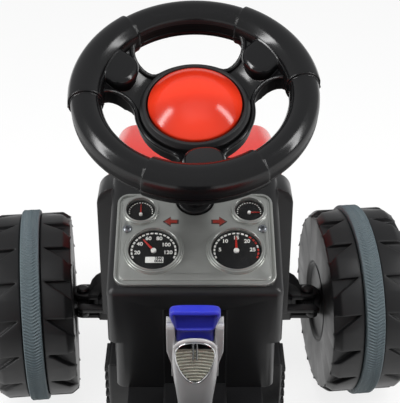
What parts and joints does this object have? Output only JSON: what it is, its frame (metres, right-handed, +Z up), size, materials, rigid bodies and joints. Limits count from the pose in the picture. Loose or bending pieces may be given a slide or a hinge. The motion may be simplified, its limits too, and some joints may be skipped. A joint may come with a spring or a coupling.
{
  "type": "ride-on pedal tractor toy",
  "caption": "Ride-on pedal tractor for a child: working steering wheel with linked front wheels, horn button, sprung shift paddle on a gear lever, chain-driven rear axle and tow hitch.",
  "frame": {"origin": "on the ground, at the middle of the overall length and width", "axes": "+Y forward to the nose, +Z up, +X to the rider's right"},
  "size_m": [0.564, 0.96, 0.5654],
  "materials": {
    "body_black": "fine satin moulding",
    "console_black": "polished moulding",
    "body_red": "glossy red",
    "trim_black": "satin",
    "lamp_chrome": "bright plated dome",
    "seat_black": "fine grain",
    "screw_steel": "zinc plated",
    "hitch_steel": "black painted steel",
    "dash_silver": "silver painted",
    "dial_black": "printed dial",
    "needle_red": "red pointer",
    "lens_clear": "clear cover",
    "arrow_red": "red",
    "bush_grey": "nylon",
    "axle_black": "black painted steel",
    "pin_steel": "zinc plated",
    "chain_steel": "oiled steel",
    "steering_black": "polished black",
    "bezel_grey": "dark grey",
    "spring_steel": "spring wire",
    "horn_red": "glossy red",
    "crank_steel": "black painted steel",
    "pedal_black": "satin",
    "lever_silver": "silver painted",
    "insert_silver": "silver ribbed",
    "window_clear": "clear window",
    "paddle_blue": "glossy blue",
    "wheel_black": "satin moulded",
    "band_grey": "slate grey, finely knurled",
    "cap_red": "glossy red"
  },
  "bodies": {
    "chassis": {"lower_body": "body_black", "dash_console": "console_black", "hood": "body_red", "grille": "trim_black", "headlights": "lamp_chrome", "seat": "seat_black", "body_screws": "screw_steel", "hitch": "hitch_steel", "dash_panel": "dash_silver", "gauge_dials": "dial_black", "gauge_needles": "needle_red", "gauge_lenses": "lens_clear", "indicator_arrows": "arrow_red", "column_bushes": "bush_grey", "front_axle_beam": "body_black", "pivot_pins": "pin_steel", "drive_bushes": "bush_grey", "chain": "chain_steel", "gear_gate": "console_black", "fender_left": "body_red", "fender_right": "body_red"},
    "steering": {"steering_wheel": "steering_black", "horn_bezel": "bezel_grey", "steering_column": "pin_steel", "horn_spring": "spring_steel"},
    "horn": {"horn_button": "horn_red"},
    "knuckle_left": {"knuckle_left": "axle_black"},
    "knuckle_right": {"knuckle_right": "axle_black"},
    "tie_rod": {"tie_rod": "axle_black"},
    "front_wheel_left": {"front_wheel_left_outer": "wheel_black", "front_wheel_left_inner": "wheel_black", "front_wheel_left_band": "band_grey", "front_hub_cap_left": "cap_red"},
    "front_wheel_right": {"front_wheel_right_outer": "wheel_black", "front_wheel_right_inner": "wheel_black", "front_wheel_right_band": "band_grey", "front_hub_cap_right": "cap_red"},
    "rear_drive": {"rear_axle": "pin_steel", "rear_sprocket": "chain_steel", "rear_spacers": "bush_grey", "rear_wheel_right_outer": "wheel_black", "rear_wheel_right_inner": "wheel_black", "rear_wheel_right_band": "band_grey", "rear_hub_cap_right": "cap_red"},
    "rear_wheel_left": {"rear_wheel_left_outer": "wheel_black", "rear_wheel_left_inner": "wheel_black", "rear_wheel_left_band": "band_grey", "rear_hub_cap_left": "cap_red"},
    "crank": {"crank_axle": "pin_steel", "crank_arm_left": "crank_steel", "crank_arm_right": "crank_steel", "chainring": "chain_steel"},
    "pedal_left": {"pedal_left": "pedal_black"},
    "pedal_right": {"pedal_right": "pedal_black"},
    "gear_lever": {"gear_lever": "lever_silver", "gear_insert": "insert_silver", "gear_window": "window_clear", "paddle_pin": "pin_steel"},
    "gear_paddle": {"gear_paddle": "paddle_blue"}
  },
  "joints": [
    {"name": "steering_turn", "type": "hinge", "parent": "chassis", "child": "steering", "pos_m": [0, 0.1087, 0.507], "axis": [0, -0.4226, 0.9063], "range_deg": [-26, 14]},
    {"name": "horn_press", "type": "slide", "parent": "steering", "child": "horn", "axis": [0, 0.4226, -0.9063], "range_m": [0, 0.004], "stiffness_N_per_m": 1500, "springref_m": -0.002, "deforming": ["horn_spring"]},
    {"name": "knuckle_left_turn", "type": "hinge", "parent": "chassis", "child": "knuckle_left", "pos_m": [-0.145, 0.31, 0.1225], "axis": [0, 0, 1], "range_deg": [-26, 14]},
    {"name": "knuckle_right_turn", "type": "hinge", "parent": "chassis", "child": "knuckle_right", "pos_m": [0.145, 0.31, 0.1225], "axis": [0, 0, 1], "range_deg": [-26, 14]},
    {"name": "tie_rod_turn", "type": "hinge", "parent": "knuckle_left", "child": "tie_rod", "pos_m": [-0.14145, 0.27619, 0.129], "axis": [0, 0, 1], "range_deg": [-14, 26]},
    {"name": "front_wheel_left_spin", "type": "hinge", "parent": "knuckle_left", "child": "front_wheel_left", "pos_m": [-0.20467, 0.30373, 0.1225], "axis": [-0.9945, -0.1045, 0], "continuous": true},
    {"name": "front_wheel_right_spin", "type": "hinge", "parent": "knuckle_right", "child": "front_wheel_right", "pos_m": [0.20467, 0.31627, 0.1225], "axis": [-0.9945, -0.1045, 0], "continuous": true},
    {"name": "rear_axle_spin", "type": "hinge", "parent": "chassis", "child": "rear_drive", "pos_m": [0, -0.29, 0.16], "axis": [-1, 0, 0], "continuous": true, "deforming": ["chain"]},
    {"name": "rear_wheel_left_spin", "type": "hinge", "parent": "rear_drive", "child": "rear_wheel_left", "pos_m": [-0.215, -0.29, 0.16], "axis": [-1, 0, 0], "continuous": true},
    {"name": "crank_spin", "type": "hinge", "parent": "chassis", "child": "crank", "pos_m": [0, 0.01272, 0.124], "axis": [-1, 0, 0], "continuous": true, "deforming": ["chain"]},
    {"name": "pedal_left_spin", "type": "hinge", "parent": "crank", "child": "pedal_left", "pos_m": [-0.14, -0.04389, 0.1732], "axis": [-1, 0, 0], "continuous": true},
    {"name": "pedal_right_spin", "type": "hinge", "parent": "crank", "child": "pedal_right", "pos_m": [0.14, 0.06932, 0.0748], "axis": [-1, 0, 0], "continuous": true},
    {"name": "gear_shift", "type": "hinge", "parent": "chassis", "child": "gear_lever", "pos_m": [0, 0.02, 0.184], "axis": [1, 0, 0], "range_deg": [-18, 6]},
    {"name": "paddle_squeeze", "type": "hinge", "parent": "gear_lever", "child": "gear_paddle", "pos_m": [0, -0.00344, 0.31695], "axis": [1, 0, 0], "range_deg": [0, 8], "stiffness_Nm_per_rad": 0.6, "springref_deg": -8.59}
  ],
  "couplings": [
    {"joint": "knuckle_left_turn", "follows": "steering_turn", "ratio": 1},
    {"joint": "knuckle_right_turn", "follows": "steering_turn", "ratio": 1},
    {"joint": "tie_rod_turn", "follows": "steering_turn", "ratio": -1},
    {"joint": "crank_spin", "follows": "rear_axle_spin", "ratio": 0.7}
  ]
}
